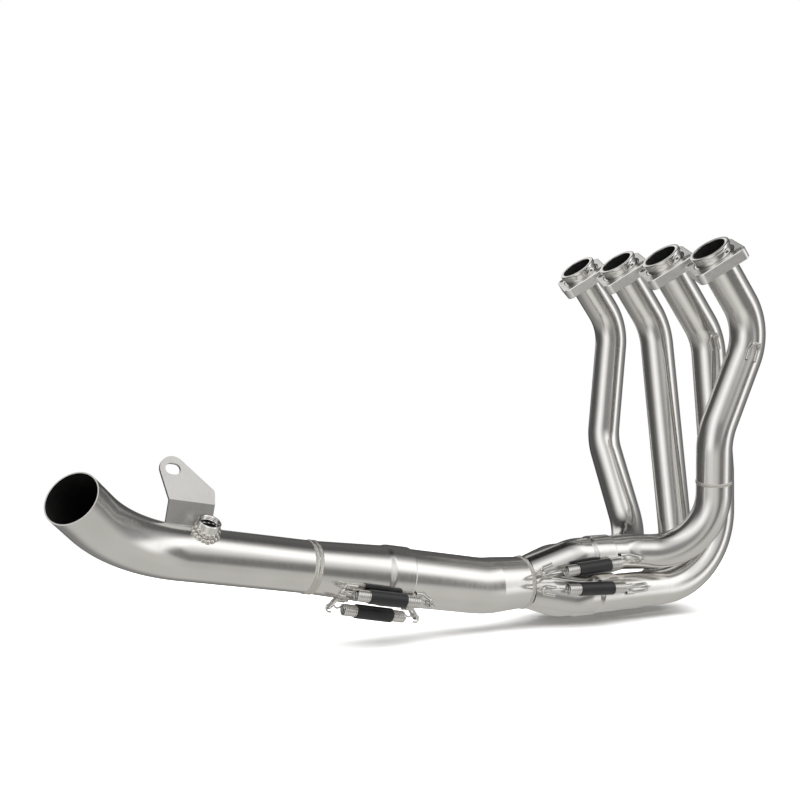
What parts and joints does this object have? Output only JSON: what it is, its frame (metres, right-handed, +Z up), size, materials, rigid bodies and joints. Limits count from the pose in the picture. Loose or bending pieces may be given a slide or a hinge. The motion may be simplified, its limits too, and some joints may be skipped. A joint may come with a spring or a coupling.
{
  "type": "motorcycle exhaust header",
  "caption": "Four-into-one stainless exhaust header with loose port flanges, slip-jointed merge collector held by springs, link pipe and angled tail.",
  "frame": {"origin": "middle of the face of port 1's flange, on the axis of its port", "axes": "+X to the front of the bike, along the longest extent; +Y to the rider's left; +Z up"},
  "size_m": [0.776, 0.3012, 0.4123],
  "materials": {
    "tube_steel": "hoop-brushed satin stainless",
    "turned_steel": "polished turned stainless",
    "machined_steel": "satin machined",
    "sheet_steel": "satin sheet",
    "spring_steel": "bright drawn wire",
    "rubber": "matt black"
  },
  "bodies": {
    "header": {"collector_leg_1": "tube_steel", "collector_leg_2": "tube_steel", "collector_leg_3": "tube_steel", "collector_leg_4": "tube_steel", "collector_outlet": "tube_steel", "collector_spring_1": "spring_steel", "collector_spring_2": "spring_steel", "collector_spring_3": "spring_steel", "collector_spring_4": "spring_steel", "collector_spring_hook_1": "spring_steel", "collector_spring_hook_2": "spring_steel", "collector_spring_hook_3": "spring_steel", "collector_spring_hook_4": "spring_steel", "collector_spring_sleeve_1": "rubber", "collector_spring_sleeve_2": "rubber", "collector_spring_sleeve_3": "rubber", "collector_spring_sleeve_4": "rubber", "hanger_bracket": "sheet_steel", "link_pipe": "tube_steel", "link_spring_1": "spring_steel", "link_spring_2": "spring_steel", "link_spring_hook_1": "spring_steel", "link_spring_hook_2": "spring_steel", "link_spring_sleeve_1": "rubber", "link_spring_sleeve_2": "rubber", "outlet_spring_hook_1": "spring_steel", "outlet_spring_hook_2": "spring_steel", "port_spigot_1": "turned_steel", "port_spigot_2": "turned_steel", "port_spigot_3": "turned_steel", "port_spigot_4": "turned_steel", "primary_spring_hook_1": "spring_steel", "primary_spring_hook_2": "spring_steel", "primary_spring_hook_3": "spring_steel", "primary_spring_hook_4": "spring_steel", "primary_tube_1": "tube_steel", "primary_tube_2": "tube_steel", "primary_tube_3": "tube_steel", "primary_tube_4": "tube_steel", "sensor_boss": "turned_steel", "spare_spring_hook_3": "spring_steel", "spare_spring_hook_4": "spring_steel", "tail_pipe": "tube_steel"},
    "flange_1": {"head_flange_1": "machined_steel"},
    "flange_2": {"head_flange_2": "machined_steel"},
    "flange_3": {"head_flange_3": "machined_steel"},
    "flange_4": {"head_flange_4": "machined_steel"}
  },
  "joints": [
    {"name": "flange_1_swivel", "type": "hinge", "parent": "header", "child": "flange_1", "pos_m": [0, 0, 0], "axis": [-0.6157, 0, 0.788], "continuous": true},
    {"name": "flange_2_swivel", "type": "hinge", "parent": "header", "child": "flange_2", "pos_m": [0, -0.077, 0], "axis": [-0.6157, 0, 0.788], "continuous": true},
    {"name": "flange_3_swivel", "type": "hinge", "parent": "header", "child": "flange_3", "pos_m": [0, -0.154, 0], "axis": [-0.6157, 0, 0.788], "continuous": true},
    {"name": "flange_4_swivel", "type": "hinge", "parent": "header", "child": "flange_4", "pos_m": [0, -0.231, 0], "axis": [-0.6157, 0, 0.788], "continuous": true}
  ]
}
